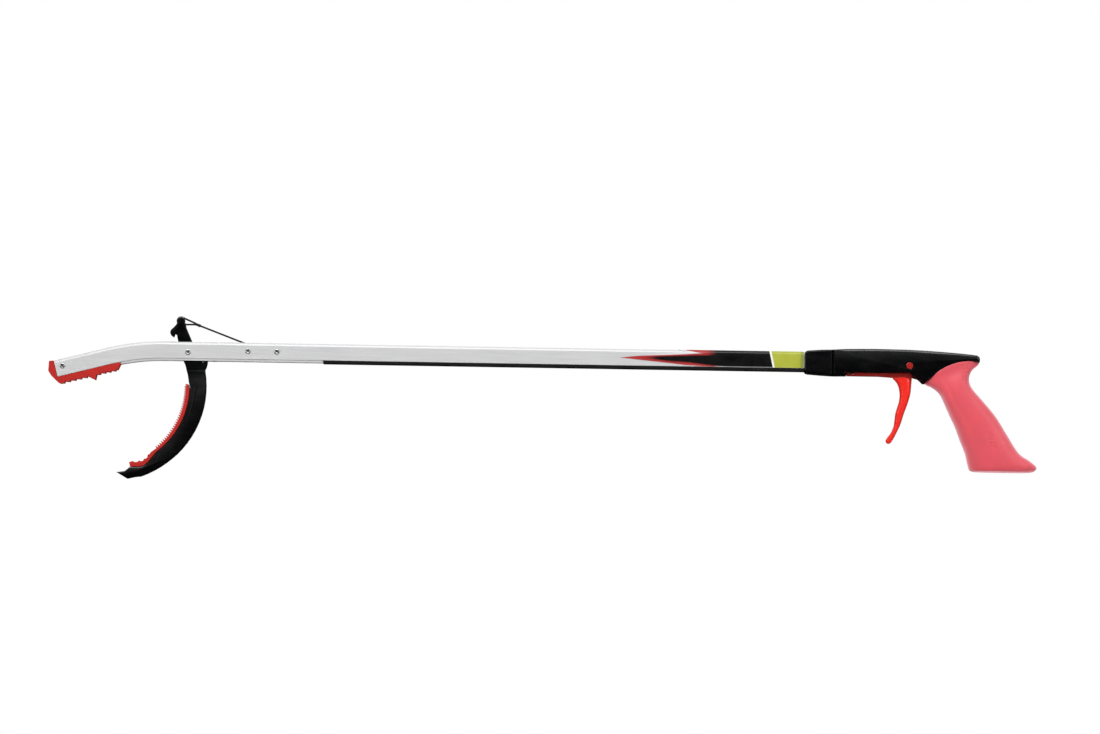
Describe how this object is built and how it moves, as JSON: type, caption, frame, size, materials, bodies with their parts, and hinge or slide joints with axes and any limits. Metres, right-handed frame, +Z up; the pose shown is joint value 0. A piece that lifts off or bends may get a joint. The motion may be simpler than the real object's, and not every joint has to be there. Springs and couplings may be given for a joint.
{
  "type": "reacher grabber",
  "caption": "Trigger-operated reacher: channel shaft with a bent fixed nose, a hinged hook jaw pulled by a cord, and a pistol grip.",
  "frame": {"origin": "under the middle of the whole tool, on the mid-plane, at the height of the lowest point (the moving jaw's tip with the jaws open)", "axes": "+X along the shaft from the jaws to the handle, +Z up from the grip's base to the shaft's top face, Y across the tool"},
  "size_m": [0.8508, 0.035, 0.1404],
  "materials": {
    "aluminium": "satin anodised",
    "steel": "zinc plated",
    "black_gloss": "gloss moulded",
    "black_satin": "satin moulded",
    "wrap_film": "printed film",
    "red_rubber": "matt moulded",
    "red_plastic": "gloss moulded",
    "soft_grip": "soft translucent overmould",
    "cord": "braided"
  },
  "bodies": {
    "frame": {"shaft_channel": "aluminium", "channel_cover": "black_satin", "graphic_wrap": "wrap_film", "tip_pad": "red_rubber", "tip_rivet": "steel", "jaw_pivot_rivet": "steel", "jaw_pivot_bush": "steel", "spring_anchor_rivet": "steel", "cord_guide_rivet": "steel", "cord_guide_spacer": "steel", "cord_bend": "cord", "cord_guide_post": "steel", "trigger_pin": "red_plastic", "front_collar": "black_gloss", "handle_shell_left": "black_gloss", "handle_shell_right": "black_gloss", "handle_screw_front": "steel", "handle_screw_rear": "steel", "shaft_pin": "steel", "grip_sleeve": "soft_grip"},
    "jaw": {"jaw_arm": "black_gloss", "jaw_liner": "red_rubber", "spring_pin": "steel"},
    "cord_front": {"cord_loop": "cord", "cord_crimp": "black_satin"},
    "cord_strand": {"cord_strand": "cord"},
    "spring_front": {"spring_front_hook": "steel", "spring_coil": "steel"},
    "spring_rear": {"spring_rear_hook": "steel"},
    "pull_cord": {"pull_cord": "cord"},
    "trigger": {"trigger": "red_plastic"},
    "cord_nipple": {"cord_nipple": "steel"},
    "cord_tail": {"cord_tail": "cord"}
  },
  "joints": [
    {"name": "trigger_squeeze", "type": "hinge", "parent": "frame", "child": "trigger", "pos_m": [0.3145, 0, 0.1075], "axis": [0, -1, 0], "range_deg": [0, 26.45], "stiffness_Nm_per_rad": 0.6, "springref_deg": -28.65},
    {"name": "jaw_close", "type": "hinge", "parent": "frame", "child": "jaw", "pos_m": [-0.3058, 0, 0.1093], "axis": [0, 1, 0], "range_deg": [0, 48.01]},
    {"name": "cord_loop_turn", "type": "hinge", "parent": "jaw", "child": "cord_front", "pos_m": [-0.3125, 0, 0.1365], "axis": [0, -1, 0], "range_deg": [0, 44.36]},
    {"name": "cord_strand_feed", "type": "slide", "parent": "cord_front", "child": "cord_strand", "axis": [-0.9365, 0, 0.3506], "range_m": [0, 0.02263], "deforming": ["cord_strand"]},
    {"name": "spring_front_turn", "type": "hinge", "parent": "jaw", "child": "spring_front", "pos_m": [-0.2925, 0, 0.1013], "axis": [0, -1, 0], "range_deg": [0, 54.25]},
    {"name": "spring_stretch", "type": "slide", "parent": "spring_front", "child": "spring_rear", "axis": [0.9694, 0, 0.2455], "range_m": [0, 0.01201], "deforming": ["spring_coil"]},
    {"name": "cord_pull", "type": "slide", "parent": "frame", "child": "pull_cord", "axis": [0.9999, 0, 0.0166], "range_m": [0, 0.02263], "deforming": ["cord_bend"]},
    {"name": "cord_nipple_turn", "type": "hinge", "parent": "trigger", "child": "cord_nipple", "pos_m": [0.2645, 0, 0.1015], "axis": [0, 1, 0], "range_deg": [0, 12.4]},
    {"name": "cord_tail_feed", "type": "slide", "parent": "cord_nipple", "child": "cord_tail", "axis": [0, 0, 1], "range_m": [0, 0.02386], "deforming": ["cord_tail"]}
  ],
  "couplings": [
    {"joint": "jaw_close", "follows": "trigger_squeeze", "ratio": 1.8147},
    {"joint": "cord_loop_turn", "follows": "trigger_squeeze", "ratio": 1.6767},
    {"joint": "cord_strand_feed", "follows": "trigger_squeeze", "m_per_rad": 0.048999},
    {"joint": "spring_front_turn", "follows": "trigger_squeeze", "ratio": 2.0507},
    {"joint": "spring_stretch", "follows": "trigger_squeeze", "m_per_rad": 0.025994},
    {"joint": "cord_pull", "follows": "trigger_squeeze", "m_per_rad": 0.048999},
    {"joint": "cord_nipple_turn", "follows": "trigger_squeeze", "ratio": 0.46843},
    {"joint": "cord_tail_feed", "follows": "trigger_squeeze", "m_per_rad": 0.051664}
  ]
}
